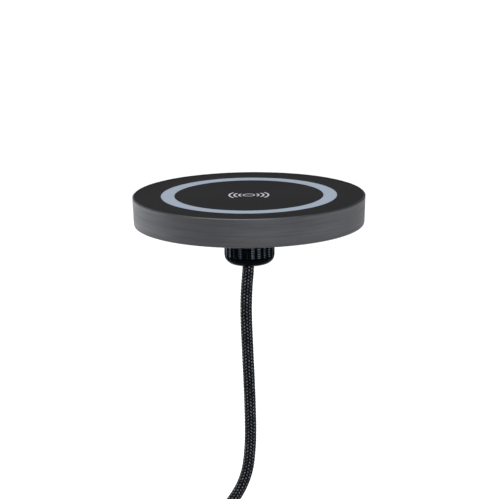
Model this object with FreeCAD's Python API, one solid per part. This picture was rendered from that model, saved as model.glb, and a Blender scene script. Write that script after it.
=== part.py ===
"""A round wireless charging pad that clamps to a desk top or shelf, with its braided USB-C cord.

Millimetres, +Z up. The origin is the centre of the foot ring's underside, which is the plane of the
desk top. The user stands at -Y. Below the desk top hang the threaded stem, the clamp washer, the
ribbed thumb nut and the cord, whose spare length is folded into a tied hank.
"""

import FreeCAD, Part
import math
import os

from FreeCAD import Vector

# ---- driving dimensions -------------------------------------------------------------------------
PAD_RADIUS = 40.0        # the aluminium ring at its top edge
WALL_HEIGHT = 10.0       # the aluminium ring, bottom to top
FOOT_PROUD = 0.5         # how far the foot ring lifts the ring off the desk top
DRAFT = 0.38             # how much smaller the ring's radius is at its bottom
RIM_WIDTH = 0.72         # the bright rim seen round the black top
TOP_RECESS = 0.12        # the black top sits this far below the rim
TOP_THICKNESS = 1.2
LIGHT_OUTER = 30.2       # the frosted light ring, as seen from above
LIGHT_INNER = 25.6
SEAM = 0.05              # half of the fine gap between the pieces of the top
FOOT_OUTER = 32.0
FOOT_INNER = 26.0
FOOT_GROOVE = 0.4        # how deep the foot ring is let into the base plate

STEM_THREAD_RADIUS = 6.95   # M14 x 1.5
THREAD_PITCH = 1.5
STEM_BORE = 4.75
STEM_BOTTOM_Z = -10.0
SHANK_RADIUS = 7.0
SHANK_BOTTOM_Z = -1.5    # the plain shank that centres the pad in the panel's hole
SPIGOT_RADIUS = 7.1      # the stem where it passes through the base plate

NUT_RADIUS = 8.6
NUT_TOP_Z = -4.8
NUT_BOTTOM_Z = -13.3
NUT_LIP_HOLE = 6.19
NUT_RIBS = 24
WASHER_RADIUS = 12.0
WASHER_THICKNESS = 1.0

CORD_DIAMETER = 4.0
LAYER_PITCH = 4.1        # from one strand of the hank to the next
HANK_FOLD_RADII = (12.2, 16.3, 20.4)
HANK_TOP_Z = -126.0      # centre of the upper folds
HANK_RUN = 60.0          # from the upper folds' centre to the lower folds'
HANK_SQUEEZE = 10.15     # how far the tie draws each run in
TIE_WIDTH = 12.0
TIE_THICKNESS = 1.3

# The free stretch of cord, from the crimp collar in the stem down to the hank.
CORD_ROUTE = [
    (0.0, 0.0, 4.8),
    (0.0, 0.0, -11.0),
    (-1.6, 0.2, -27.0),
    (-1.0, -0.1, -45.0),
    (-0.4, -0.2, -62.0),
    (-0.2, 0.1, -78.0),
    (-1.9, -0.4, -91.0),
    (-9.0, -1.0, -102.0),
    (-17.2, -2.05, -109.5),
]
TAIL_X = -23.5           # the plug hangs beside the hank's lower folds
TAIL_TOP_Z = -188.0
RELIEF_TOP_Z = -199.0
RELIEF_LENGTH = 14.0
RELIEF_GRIP = 8.0        # how far the cord runs on inside the relief
PLUG_BODY_LENGTH = 18.0
SHELL_LENGTH = 6.65      # the USB-C shell
SHELL_WIDTH = 8.34
SHELL_DEPTH = 2.56
SHELL_WALL = 0.3

# ---- heights worked out from them ---------------------------------------------------------------
WALL_BOTTOM_Z = FOOT_PROUD
WALL_TOP_Z = WALL_BOTTOM_Z + WALL_HEIGHT
TOP_Z = WALL_TOP_Z - TOP_RECESS
SEAT_Z = TOP_Z - TOP_THICKNESS          # the ledge that the black top rests on
BASE_TOP_Z = WALL_BOTTOM_Z + 2.2
FLANGE_TOP_Z = BASE_TOP_Z + 1.5
BOARD_BOTTOM_Z = BASE_TOP_Z + 1.2
BOARD_TOP_Z = BOARD_BOTTOM_Z + 1.0
FOAM_BOTTOM_Z = SEAT_Z - 0.3
COIL_BOTTOM_Z = FOAM_BOTTOM_Z - 1.0
FERRITE_BOTTOM_Z = COIL_BOTTOM_Z - 0.6
CARRIER_BOTTOM_Z = FERRITE_BOTTOM_Z - 0.6
LIGHT_FLANGE_Z = SEAT_Z - 0.6           # underside of the light ring's hidden flange
LIGHT_WEB_Z = SEAT_Z + 0.2              # top of that flange
HANK_MIDDLE_Z = HANK_TOP_Z - HANK_RUN / 2
HANK_BOTTOM_Z = HANK_TOP_Z - HANK_RUN
HANK_OUTER = HANK_FOLD_RADII[-1] + CORD_DIAMETER / 2
HANK_INNER = HANK_FOLD_RADII[0] - CORD_DIAMETER / 2
HANK_HALF_DEPTH = LAYER_PITCH
TAIL_Y = LAYER_PITCH / 2
PLUG_TOP_Z = RELIEF_TOP_Z - RELIEF_LENGTH
SHELL_TOP_Z = PLUG_TOP_Z - PLUG_BODY_LENGTH

# ---- the pieces inside, as radii from the middle ------------------------------------------------
COLLAR_RADIUS = 5.9
STEM_FLANGE_RADIUS = 13.0
BOARD_INNER = 14.5
BOARD_OUTER = 31.6
CARRIER_RADIUS = 25.4
CARRIER_SPIGOT = 24.5    # the carrier's upper part, inside the light ring's flange
COIL_TRAY_RADIUS = 23.5
FERRITE_RADIUS = 23.2
GUIDE_OUTER = 29.4
GUIDE_INNER = 26.0

# ---- places of the repeated pieces --------------------------------------------------------------
BASE_SCREW_RADIUS = 35.3
BASE_SCREW_ANGLES = (45, 135, 225, 315)
STEM_SCREW_RADIUS = 10.9
STEM_SCREW_ANGLES = (0, 120, 240)
POST_RADIUS = 22.0
POST_ANGLES = (90, 210, 330)
LEG_RADIUS = 17.0
LEG_ANGLES = (30, 150, 270)
LED_RADIUS = 27.7
LED_COUNT = 8
COIL_LEAD_X = 22.4
COIL_LEAD_Y = 0.8


# ---- shape helpers ------------------------------------------------------------------------------
def cylinder(radius, bottom, top, x=0.0, y=0.0):
    return Part.makeCylinder(radius, top - bottom, Vector(x, y, bottom))


def ring(outer, inner, bottom, top):
    return cylinder(outer, bottom, top).cut(cylinder(inner, bottom - 1, top + 1))


def box(size_x, size_y, bottom, top, x=0.0, y=0.0):
    """A box centred on x, y."""
    corner = Vector(x - size_x / 2, y - size_y / 2, bottom)
    return Part.makeBox(size_x, size_y, top - bottom, corner)


def turned(outline):
    """The outline of (radius, height) points, turned round the Z axis. A triple (r, z, "arc") is the
    middle point of an arc between its neighbours."""
    edges = []
    points = outline + [outline[0]]
    i = 0
    while i < len(points) - 1:
        start = Vector(points[i][0], 0, points[i][1])
        if len(points[i + 1]) == 3:
            middle = Vector(points[i + 1][0], 0, points[i + 1][1])
            end = Vector(points[i + 2][0], 0, points[i + 2][1])
            edges.append(Part.Arc(start, middle, end).toShape())
            i += 2
        else:
            end = Vector(points[i + 1][0], 0, points[i + 1][1])
            edges.append(Part.LineSegment(start, end).toShape())
            i += 1
    face = Part.Face(Part.Wire(edges))
    return face.revolve(Vector(0, 0, 0), Vector(0, 0, 1), 360)


def polar(radius, angle):
    turn = math.radians(angle)
    return radius * math.cos(turn), radius * math.sin(turn)


def at_angles(make, radius, angles):
    """One shape from make(x, y) at each of the angles."""
    return [make(*polar(radius, angle)) for angle in angles]


def placed_at_angle(shape, angle):
    copy = shape.copy()
    copy.rotate(Vector(0, 0, 0), Vector(0, 0, 1), angle)
    return copy


def rounded_bar(size_x, size_y, corner, bottom, top, x=0.0, y=0.0):
    """An upright bar whose section is a rectangle with round corners."""
    bar = box(size_x, size_y, bottom, top, x, y)
    upright = [e for e in bar.Edges if abs(e.tangentAt(e.FirstParameter).z) > 0.9]
    return bar.makeFillet(corner, upright)


def cross_recess(width, depth, bottom, x, y):
    """The cutter for a screw head's cross recess."""
    arm = box(width, width / 4, bottom, bottom + depth, x, y)
    return arm.fuse(box(width / 4, width, bottom, bottom + depth, x, y))


def export(name, shape):
    """Writes one node. A list of solids becomes a group in that node."""
    if isinstance(shape, list):
        shape = Part.makeCompound(shape)
    solids = shape.Solids
    assert solids and all(s.isValid() and s.Volume > 0 for s in solids), name
    if len(solids) == 1:
        shape = solids[0]
    shape.exportStep(os.path.join("parts", name + ".step"))
    print(f"{name}: {len(solids)} solid, {shape.Volume:.1f} mm3")


# ---- cords and wires ----------------------------------------------------------------------------
def route_wire(points):
    """Straight runs joined by arcs tangent to both. Each arc is as large as its two runs allow."""
    corners = [Vector(*p) for p in points]
    edges = []
    radii = []
    start = corners[0]
    for before, corner, after in zip(corners, corners[1:], corners[2:]):
        run_in = corner - before
        run_out = after - corner
        turn = run_in.getAngle(run_out)
        setback = 0.45 * min(run_in.Length, run_out.Length)
        radii.append(setback / math.tan(turn / 2))
        way_in = Vector(run_in).normalize()
        way_out = Vector(run_out).normalize()
        arc_start = corner - way_in * setback
        arc_end = corner + way_out * setback
        inward = Vector(way_out - way_in).normalize()
        to_centre = radii[-1] / math.cos(turn / 2)
        arc_middle = corner + inward * (to_centre - radii[-1])
        edges.append(Part.LineSegment(start, arc_start).toShape())
        edges.append(Part.Arc(arc_start, arc_middle, arc_end).toShape())
        start = arc_end
    edges.append(Part.LineSegment(start, corners[-1]).toShape())
    return Part.Wire(edges), radii


def tube(name, points, diameter):
    path, radii = route_wire(points)
    first, second = Vector(*points[0]), Vector(*points[1])
    section = Part.Wire(Part.makeCircle(diameter / 2, first, second - first))
    solid = path.makePipeShell([section], True, True)
    expected = math.pi * diameter**2 / 4 * path.Length
    bends = ", ".join(f"{r:.1f}" for r in radii) or "none"
    share = solid.Volume / expected
    print(f"{name}: length {path.Length:.1f}, bend radii {bends}, volume {share:.4f} of section x length")
    return solid


# ---- the thread ---------------------------------------------------------------------------------
def thread_ridge(root, crest, crest_width, bottom, top):
    """A helical ridge with 60 degree flanks, from the root radius to the crest radius, cut off flat at
    both ends. The root is sunk a little, so that the ridge joins its cylinder."""
    sunk = 0.08 if crest > root else -0.08
    height = abs(crest - root) + abs(sunk)
    root_half = crest_width / 2 + height * math.tan(math.radians(30))
    start_z = math.floor(bottom / THREAD_PITCH - 1) * THREAD_PITCH
    turns_high = top - start_z + THREAD_PITCH
    helix = Part.makeLongHelix(THREAD_PITCH, turns_high, root - sunk, 0)
    helix.translate(Vector(0, 0, start_z))
    corners = [
        Vector(root - sunk, 0, start_z - root_half),
        Vector(crest, 0, start_z - crest_width / 2),
        Vector(crest, 0, start_z + crest_width / 2),
        Vector(root - sunk, 0, start_z + root_half),
    ]
    section = Part.makePolygon(corners + [corners[0]])
    ridge = Part.Wire(helix).makePipeShell([section], True, True)
    slab = cylinder(3 * max(root, crest), bottom, top)
    return ridge.common(slab)


# ---- the top ------------------------------------------------------------------------------------
def housing_ring():
    """The machined aluminium wall: rim, ledge for the black top, and lugs for the base screws."""
    ledge_inner = PAD_RADIUS - 3.6
    wall_inner = PAD_RADIUS - 2.4
    bottom_outer = PAD_RADIUS - DRAFT
    edge = 0.7
    body = turned([
        (wall_inner, WALL_BOTTOM_Z),
        (bottom_outer - edge, WALL_BOTTOM_Z),
        (bottom_outer - 0.29 * edge, WALL_BOTTOM_Z + 0.29 * edge, "arc"),
        (bottom_outer, WALL_BOTTOM_Z + edge),
        (PAD_RADIUS, WALL_TOP_Z - 0.25),
        (PAD_RADIUS - 0.25, WALL_TOP_Z),
        (PAD_RADIUS - RIM_WIDTH, WALL_TOP_Z),
        (PAD_RADIUS - RIM_WIDTH, SEAT_Z),
        (ledge_inner, SEAT_Z),
        (ledge_inner, SEAT_Z - 1.0),
        (wall_inner, SEAT_Z - 2.2),
    ])
    lug_top = SEAT_Z - 1.0
    lugs = at_angles(lambda x, y: cylinder(2.6, BASE_TOP_Z, lug_top, x, y),
                     BASE_SCREW_RADIUS, BASE_SCREW_ANGLES)
    holes = at_angles(lambda x, y: cylinder(1.0, BASE_TOP_Z - 1, 7.0, x, y),
                      BASE_SCREW_RADIUS, BASE_SCREW_ANGLES)
    return body.multiFuse(lugs).cut(Part.makeCompound(holes)).removeSplitter()


def top_plate():
    """The black annulus outside the light ring, with a rebate over the light ring's flange."""
    outer = PAD_RADIUS - RIM_WIDTH - SEAM
    return turned([
        (LIGHT_OUTER + 1.0 + SEAM, SEAT_Z),
        (outer, SEAT_Z),
        (outer, TOP_Z - 0.1),
        (outer - 0.1, TOP_Z),
        (LIGHT_OUTER + SEAM, TOP_Z),
        (LIGHT_OUTER + SEAM, LIGHT_WEB_Z),
        (LIGHT_OUTER + 1.0 + SEAM, LIGHT_WEB_Z),
    ])


def light_ring():
    """The frosted ring, flush with the black top, with a flange hidden under both neighbours."""
    return turned([
        (LIGHT_INNER - 1.0, LIGHT_FLANGE_Z),
        (LIGHT_OUTER + 1.0, LIGHT_FLANGE_Z),
        (LIGHT_OUTER + 1.0, LIGHT_WEB_Z),
        (LIGHT_OUTER, LIGHT_WEB_Z),
        (LIGHT_OUTER, TOP_Z),
        (LIGHT_INNER, TOP_Z),
        (LIGHT_INNER, LIGHT_WEB_Z),
        (LIGHT_INNER - 1.0, LIGHT_WEB_Z),
    ])


def centre_disc():
    disc = cylinder(LIGHT_INNER - SEAM, LIGHT_WEB_Z, TOP_Z)
    return disc.fuse(cylinder(LIGHT_INNER - 1.0 - SEAM, SEAT_Z, LIGHT_WEB_Z)).removeSplitter()


def charge_icon():
    """The printed sign for a phone's place: a small ring with three arcs each side of it."""
    ink_top = TOP_Z + 0.05
    stroke = 0.55
    ring_radius = 1.9
    ring_stroke = 0.42
    arc_radii = (3.35, 5.05, 6.75)
    span = 76
    pieces = [ring(ring_radius + ring_stroke / 2, ring_radius - ring_stroke / 2, TOP_Z, ink_top)]
    for radius in arc_radii:
        sector = Part.makeCylinder(radius + stroke / 2, ink_top - TOP_Z, Vector(0, 0, TOP_Z),
                                   Vector(0, 0, 1), span)
        arc = sector.cut(cylinder(radius - stroke / 2, 0, ink_top + 1))
        for middle in (0, 180):
            pieces.append(placed_at_angle(arc, middle - span / 2))
    return pieces


# ---- the base -----------------------------------------------------------------------------------
def base_plate():
    """The moulded underside: foot groove, countersunk screw holes and posts for the circuit board."""
    radius = PAD_RADIUS - 2.4 - 0.1
    plate = turned([
        (SPIGOT_RADIUS + 0.05, WALL_BOTTOM_Z),
        (radius - 0.3, WALL_BOTTOM_Z),
        (radius, WALL_BOTTOM_Z + 0.3),
        (radius, BASE_TOP_Z),
        (SPIGOT_RADIUS + 0.05, BASE_TOP_Z),
    ])
    posts = at_angles(lambda x, y: cylinder(2.3, BASE_TOP_Z, BOARD_BOTTOM_Z, x, y),
                      POST_RADIUS, POST_ANGLES)
    plate = plate.multiFuse(posts)
    cutters = [ring(FOOT_OUTER, FOOT_INNER, WALL_BOTTOM_Z - 1, WALL_BOTTOM_Z + FOOT_GROOVE)]

    def countersunk_hole(x, y):
        sink = Part.makeCone(2.0, 1.05, 1.0, Vector(x, y, WALL_BOTTOM_Z))
        return sink.fuse(cylinder(1.05, WALL_BOTTOM_Z, BASE_TOP_Z + 1, x, y))

    cutters += at_angles(countersunk_hole, BASE_SCREW_RADIUS, BASE_SCREW_ANGLES)
    cutters += at_angles(lambda x, y: cylinder(0.8, 1.1, BASE_TOP_Z + 1, x, y),
                         STEM_SCREW_RADIUS, STEM_SCREW_ANGLES)
    cutters += at_angles(lambda x, y: cylinder(0.65, 1.5, BOARD_BOTTOM_Z + 1, x, y),
                         POST_RADIUS, POST_ANGLES)
    return plate.cut(Part.makeCompound(cutters)).removeSplitter()


def base_screw(x, y):
    """A countersunk cross-head screw, driven up into a lug of the aluminium ring."""
    head = Part.makeCone(1.95, 0.95, 1.0, Vector(x, y, WALL_BOTTOM_Z))
    shank = cylinder(0.95, WALL_BOTTOM_Z + 0.5, 6.6, x, y)
    return head.fuse(shank).cut(cross_recess(2.0, 0.7, WALL_BOTTOM_Z - 0.1, x, y))


def foot_ring():
    outer = FOOT_OUTER - SEAM
    inner = FOOT_INNER + SEAM
    edge = 0.25
    return turned([
        (inner, edge),
        (inner + edge, 0.0),
        (outer - edge, 0.0),
        (outer, edge),
        (outer, WALL_BOTTOM_Z + FOOT_GROOVE),
        (inner, WALL_BOTTOM_Z + FOOT_GROOVE),
    ])


# ---- the clamp ----------------------------------------------------------------------------------
def threaded_stem():
    """A hollow M14 stem: a flange inside the pad, a plain shank, then the thread."""
    core = STEM_THREAD_RADIUS - 0.87
    crest_width = 0.17
    body = turned([
        (STEM_BORE, STEM_BOTTOM_Z),
        (core - 0.4, STEM_BOTTOM_Z),
        (core, STEM_BOTTOM_Z + 0.4),
        (core, SHANK_BOTTOM_Z),
        (SHANK_RADIUS, SHANK_BOTTOM_Z),
        (SHANK_RADIUS, WALL_BOTTOM_Z),
        (SPIGOT_RADIUS, WALL_BOTTOM_Z),
        (SPIGOT_RADIUS, BASE_TOP_Z),
        (STEM_FLANGE_RADIUS, BASE_TOP_Z),
        (STEM_FLANGE_RADIUS, FLANGE_TOP_Z),
        (COLLAR_RADIUS, FLANGE_TOP_Z),
        (COLLAR_RADIUS, FLANGE_TOP_Z - 1.2),
        (STEM_BORE, FLANGE_TOP_Z - 1.2),
    ])
    ridge = thread_ridge(core, STEM_THREAD_RADIUS, crest_width, STEM_BOTTOM_Z + 0.4,
                         SHANK_BOTTOM_Z - 0.3)
    holes = at_angles(lambda x, y: cylinder(1.0, BASE_TOP_Z - 1, FLANGE_TOP_Z + 1, x, y),
                      STEM_SCREW_RADIUS, STEM_SCREW_ANGLES)
    return body.fuse(ridge).cut(Part.makeCompound(holes))


def stem_screw(x, y):
    """A pan-head screw that holds the stem's flange to the base plate."""
    head = cylinder(1.9, FLANGE_TOP_Z, FLANGE_TOP_Z + 1.2, x, y)
    shank = cylinder(0.75, 1.15, FLANGE_TOP_Z + 0.1, x, y)
    recess = cross_recess(2.2, 0.7, FLANGE_TOP_Z + 0.6, x, y)
    return head.fuse(shank).cut(recess)


def cord_collar():
    """The metal collar crimped on the cord, which keeps it from being pulled out of the stem."""
    return ring(COLLAR_RADIUS - 0.1, CORD_DIAMETER / 2, FLANGE_TOP_Z - 1.2, FLANGE_TOP_Z + 0.3)


def cord_bush():
    """The rubber bush that centres the cord in the stem's end."""
    lip = 5.6
    return turned([
        (CORD_DIAMETER / 2, STEM_BOTTOM_Z - 0.6),
        (lip - 0.3, STEM_BOTTOM_Z - 0.6),
        (lip, STEM_BOTTOM_Z - 0.3),
        (lip, STEM_BOTTOM_Z),
        (STEM_BORE, STEM_BOTTOM_Z),
        (STEM_BORE, STEM_BOTTOM_Z + 4.5),
        (CORD_DIAMETER / 2, STEM_BOTTOM_Z + 4.5),
    ])


def clamp_washer():
    top = NUT_TOP_Z + WASHER_THICKNESS
    hole = SHANK_RADIUS + 0.3
    edge = 0.2
    return turned([
        (hole, NUT_TOP_Z),
        (WASHER_RADIUS - edge, NUT_TOP_Z),
        (WASHER_RADIUS, NUT_TOP_Z + edge),
        (WASHER_RADIUS, top - edge),
        (WASHER_RADIUS - edge, top),
        (hole, top),
    ])


def thumb_nut():
    """The ribbed nut: threaded bore, round lower edge, and an end lip that passes the cord's plug."""
    edge_wide = 2.3
    edge_high = 3.6
    bore = STEM_THREAD_RADIUS + 0.1
    lip_z = NUT_BOTTOM_Z + 1.1
    body = turned([
        (NUT_LIP_HOLE, NUT_BOTTOM_Z),
        (NUT_RADIUS - edge_wide, NUT_BOTTOM_Z),
        (NUT_RADIUS - 0.293 * edge_wide, NUT_BOTTOM_Z + 0.293 * edge_high, "arc"),
        (NUT_RADIUS, NUT_BOTTOM_Z + edge_high),
        (NUT_RADIUS, NUT_TOP_Z - 0.3),
        (NUT_RADIUS - 0.3, NUT_TOP_Z),
        (bore, NUT_TOP_Z),
        (bore, lip_z),
        (NUT_LIP_HOLE, lip_z),
    ])
    flute = cylinder(0.62, NUT_BOTTOM_Z - 1, NUT_TOP_Z + 1, NUT_RADIUS + 0.2, 0)
    flutes = [placed_at_angle(flute, i * 360 / NUT_RIBS) for i in range(NUT_RIBS)]
    body = body.cut(Part.makeCompound(flutes))
    ridge = thread_ridge(bore, NUT_LIP_HOLE, 0.17, lip_z + 0.3, NUT_TOP_Z - 0.2)
    ridge.translate(Vector(0, 0, THREAD_PITCH / 2))
    slab = cylinder(bore + 0.5, lip_z, NUT_TOP_Z)
    return body.fuse(ridge.common(slab))


# ---- electronics --------------------------------------------------------------------------------
def coil_carrier():
    """The moulded tray that holds the ferrite and the coil up against the centre disc."""
    tray = turned([
        (0.0, CARRIER_BOTTOM_Z),
        (CARRIER_RADIUS, CARRIER_BOTTOM_Z),
        (CARRIER_RADIUS, LIGHT_FLANGE_Z),
        (CARRIER_SPIGOT, LIGHT_FLANGE_Z),
        (CARRIER_SPIGOT, SEAT_Z),
        (COIL_TRAY_RADIUS, SEAT_Z),
        (COIL_TRAY_RADIUS, FERRITE_BOTTOM_Z),
        (0.0, FERRITE_BOTTOM_Z),
    ])
    legs = at_angles(lambda x, y: cylinder(2.0, BOARD_TOP_Z, CARRIER_BOTTOM_Z, x, y),
                     LEG_RADIUS, LEG_ANGLES)
    slot = box(1.6, 3.2, CARRIER_BOTTOM_Z - 1, FERRITE_BOTTOM_Z + 0.1, COIL_LEAD_X)
    return tray.multiFuse(legs).cut(slot).removeSplitter()


def ferrite_plate():
    notch = box(2.4, 3.2, FERRITE_BOTTOM_Z - 1, COIL_BOTTOM_Z + 1, COIL_LEAD_X + 0.2)
    return cylinder(FERRITE_RADIUS, FERRITE_BOTTOM_Z, COIL_BOTTOM_Z).cut(notch)


def spiral_edges(first_radius, pitch, half_turns):
    """A flat spiral of half circles about two centres, from +X round to where it ends."""
    edges = []
    start_x = first_radius
    for i in range(half_turns):
        side = 1 if i % 2 == 0 else -1
        end_x = -side * (abs(start_x) + pitch / 2)
        centre_x = (start_x + end_x) / 2
        radius = abs(start_x - end_x) / 2
        edges.append(Part.Arc(Vector(start_x, 0, 0), Vector(centre_x, side * radius, 0),
                              Vector(end_x, 0, 0)).toShape())
        start_x = end_x
    return edges, start_x


def transmit_coil():
    """A flat spiral of litz wire."""
    pitch = 1.5
    width = 1.3
    first_radius = 8.0
    half_turns = 18
    inner, inner_end = spiral_edges(first_radius, pitch, half_turns)
    outer, outer_end = spiral_edges(first_radius + width, pitch, half_turns)
    cap_first = Part.LineSegment(Vector(first_radius, 0, 0),
                                 Vector(first_radius + width, 0, 0)).toShape()
    cap_last = Part.LineSegment(Vector(inner_end, 0, 0), Vector(outer_end, 0, 0)).toShape()
    outline = Part.Wire(Part.__sortEdges__(inner + [cap_last] + outer + [cap_first]))
    coil = Part.Face(outline).extrude(Vector(0, 0, FOAM_BOTTOM_Z - COIL_BOTTOM_Z))
    coil.translate(Vector(0, 0, COIL_BOTTOM_Z))
    return coil


def coil_leads():
    """The two ends of the coil's wire, taken down to the circuit board."""
    return [cylinder(0.4, BOARD_TOP_Z, COIL_BOTTOM_Z, COIL_LEAD_X, side * COIL_LEAD_Y) for side in (-1, 1)]


def main_board():
    board = ring(BOARD_OUTER, BOARD_INNER, BOARD_BOTTOM_Z, BOARD_TOP_Z)
    holes = at_angles(lambda x, y: cylinder(1.0, BOARD_BOTTOM_Z - 1, BOARD_TOP_Z + 1, x, y),
                      POST_RADIUS, POST_ANGLES)
    return board.cut(Part.makeCompound(holes))


def board_screw(x, y):
    head = cylinder(1.6, BOARD_TOP_Z, BOARD_TOP_Z + 0.8, x, y)
    shank = cylinder(0.6, 1.6, BOARD_TOP_Z + 0.1, x, y)
    return head.fuse(shank).cut(cross_recess(1.8, 0.5, BOARD_TOP_Z + 0.4, x, y))


def on_board(size_radial, size_along, height, radius, angles):
    """Boxes on the board's top, each turned to face its centre."""
    part = box(size_radial, size_along, BOARD_TOP_Z, BOARD_TOP_Z + height, radius)
    return [placed_at_angle(part, angle) for angle in angles]


def light_guide():
    return ring(GUIDE_OUTER, GUIDE_INNER, BOARD_TOP_Z + 0.9, LIGHT_FLANGE_Z)


def inner_leads():
    """The cord's two cores, from its end in the stem over to the circuit board."""
    top = CORD_ROUTE[0][2]
    over = top + 1.0
    pad_x = -16.2
    start_x = -0.6
    leads = []
    for y in (-0.75, 0.75):
        route = [(start_x, y, top), (start_x, y, over), (pad_x, y, over), (pad_x, y, BOARD_TOP_Z)]
        leads.append(tube("inner_leads", route, 0.85))
    return leads


# ---- the hank, its tie and the plug -------------------------------------------------------------
def hank_side(x, top_z, mid_half):
    """The edges down one side of the hank: in to the waist, along it and out again. x is the side's
    distance from the middle at the folds, with its sign."""
    bottom_z = top_z - HANK_RUN
    middle_z = (top_z + bottom_z) / 2
    sign = 1 if x > 0 else -1
    waist_x = x - sign * HANK_SQUEEZE
    rise = top_z - middle_z - mid_half
    turn = 2 * math.atan(HANK_SQUEEZE / rise)
    bend = rise / 2 / math.sin(turn)
    sag = bend * (1 - math.cos(turn / 2))
    drop = bend * math.sin(turn / 2)
    half_x = (x + waist_x) / 2

    def bow(z_fold, z_waist):
        towards = 1 if z_waist < z_fold else -1
        half_z = (z_fold + z_waist) / 2
        fold = Vector(x, 0, z_fold)
        near_fold = Vector(x - sign * sag, 0, z_fold - towards * drop)
        half = Vector(half_x, 0, half_z)
        near_waist = Vector(waist_x + sign * sag, 0, z_waist + towards * drop)
        waist = Vector(waist_x, 0, z_waist)
        return Part.Arc(fold, near_fold, half), Part.Arc(half, near_waist, waist)

    upper = bow(top_z, middle_z + mid_half)
    lower = bow(bottom_z, middle_z - mid_half)
    waist_line = Part.LineSegment(Vector(waist_x, 0, middle_z + mid_half),
                                  Vector(waist_x, 0, middle_z - mid_half))
    return [c.toShape() for c in (*upper, waist_line, *lower)]


def hank_eye(fold_z, towards):
    """The cutter for the opening inside one end's folds, narrowing towards the tie."""
    tip_radius = 1.2
    reach = 19.0
    tilt = math.asin((HANK_INNER - tip_radius) / reach)
    wide_x = HANK_INNER * math.cos(tilt)
    wide_z = fold_z - towards * HANK_INNER * math.sin(tilt)
    tip_z = fold_z + towards * reach
    narrow_x = tip_radius * math.cos(tilt)
    narrow_z = tip_z - towards * tip_radius * math.sin(tilt)
    edges = [
        Part.Arc(Vector(-wide_x, 0, wide_z), Vector(0, 0, fold_z - towards * HANK_INNER),
                 Vector(wide_x, 0, wide_z)).toShape(),
        Part.LineSegment(Vector(wide_x, 0, wide_z), Vector(narrow_x, 0, narrow_z)).toShape(),
        Part.Arc(Vector(narrow_x, 0, narrow_z), Vector(0, 0, tip_z + towards * tip_radius),
                 Vector(-narrow_x, 0, narrow_z)).toShape(),
        Part.LineSegment(Vector(-narrow_x, 0, narrow_z), Vector(-wide_x, 0, wide_z)).toShape(),
    ]
    eye = Part.Face(Part.Wire(edges)).extrude(Vector(0, 4 * HANK_HALF_DEPTH, 0))
    eye.translate(Vector(0, -2 * HANK_HALF_DEPTH, 0))
    return eye


def cord_hank():
    """The outer shape of the folded cord: two round ends and a waist under the tie."""
    mid_half = TIE_WIDTH / 2 + 0.5
    edges = hank_side(-HANK_OUTER, HANK_TOP_Z, mid_half) + hank_side(HANK_OUTER, HANK_TOP_Z, mid_half)
    for fold_z, out in ((HANK_TOP_Z, 1), (HANK_BOTTOM_Z, -1)):
        edges.append(Part.Arc(Vector(-HANK_OUTER, 0, fold_z), Vector(0, 0, fold_z + out * HANK_OUTER),
                              Vector(HANK_OUTER, 0, fold_z)).toShape())
    outline = Part.Wire(Part.__sortEdges__(edges))
    solid = Part.Face(outline).extrude(Vector(0, 2 * HANK_HALF_DEPTH, 0))
    solid.translate(Vector(0, -HANK_HALF_DEPTH, 0))
    solid = solid.cut(hank_eye(HANK_TOP_Z, -1)).cut(hank_eye(HANK_BOTTOM_Z, 1))
    return solid


def hank_tie():
    """A hook-and-loop strap round the waist, with its end lapped over the front."""
    half_x = HANK_OUTER - HANK_SQUEEZE + 0.05
    half_y = HANK_HALF_DEPTH + 0.05
    bottom = HANK_MIDDLE_Z - TIE_WIDTH / 2
    top = HANK_MIDDLE_Z + TIE_WIDTH / 2
    outer = rounded_bar(2 * (half_x + TIE_THICKNESS), 2 * (half_y + TIE_THICKNESS), 2.6, bottom, top)
    band = outer.cut(box(2 * half_x, 2 * half_y, bottom - 1, top + 1))
    lap_length = 13.0
    lap = box(lap_length, 1.1, bottom, top, 3.0, -(half_y + TIE_THICKNESS + 0.5))
    return band.fuse(lap).removeSplitter()


def plug_relief():
    """The tapered, ribbed sleeve between cord and plug."""
    sleeve = Part.makeCone(3.1, 2.5, RELIEF_LENGTH, Vector(TAIL_X, TAIL_Y, PLUG_TOP_Z))
    bore = cylinder(CORD_DIAMETER / 2, RELIEF_TOP_Z - RELIEF_GRIP, RELIEF_TOP_Z + 1, TAIL_X, TAIL_Y)
    sleeve = sleeve.cut(bore)
    groove_pitch = 2.0
    for i in range(5):
        z = PLUG_TOP_Z + 2.6 + groove_pitch * i
        groove = ring(4.5, 2.45, z, z + 0.8)
        groove.translate(Vector(TAIL_X, TAIL_Y, 0))
        sleeve = sleeve.cut(groove)
    return sleeve


def plug_body():
    grip = rounded_bar(11.0, 6.0, 2.6, SHELL_TOP_Z, PLUG_TOP_Z, TAIL_X, TAIL_Y)
    rim = [e for e in grip.Edges if abs(e.CenterOfMass.z - PLUG_TOP_Z) < 0.01]
    return grip.makeFillet(0.8, rim)


def plug_shell():
    """The metal shell of the USB-C plug."""
    bottom = SHELL_TOP_Z - SHELL_LENGTH
    outer = rounded_bar(SHELL_WIDTH, SHELL_DEPTH, 1.2, bottom, SHELL_TOP_Z, TAIL_X, TAIL_Y)
    inner = rounded_bar(SHELL_WIDTH - 2 * SHELL_WALL, SHELL_DEPTH - 2 * SHELL_WALL, 0.9,
                        bottom - 1, SHELL_TOP_Z + 1, TAIL_X, TAIL_Y)
    return outer.cut(inner)


def plug_insert():
    """The insulator inside the shell, with the slot that takes the socket's tongue."""
    bottom = SHELL_TOP_Z - 6.2
    insert = rounded_bar(7.7, 1.92, 0.88, bottom, SHELL_TOP_Z, TAIL_X, TAIL_Y)
    slot = box(6.9, 0.8, bottom - 1, SHELL_TOP_Z - 1.4, TAIL_X, TAIL_Y)
    return insert.cut(slot)


os.makedirs("parts", exist_ok=True)

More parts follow.
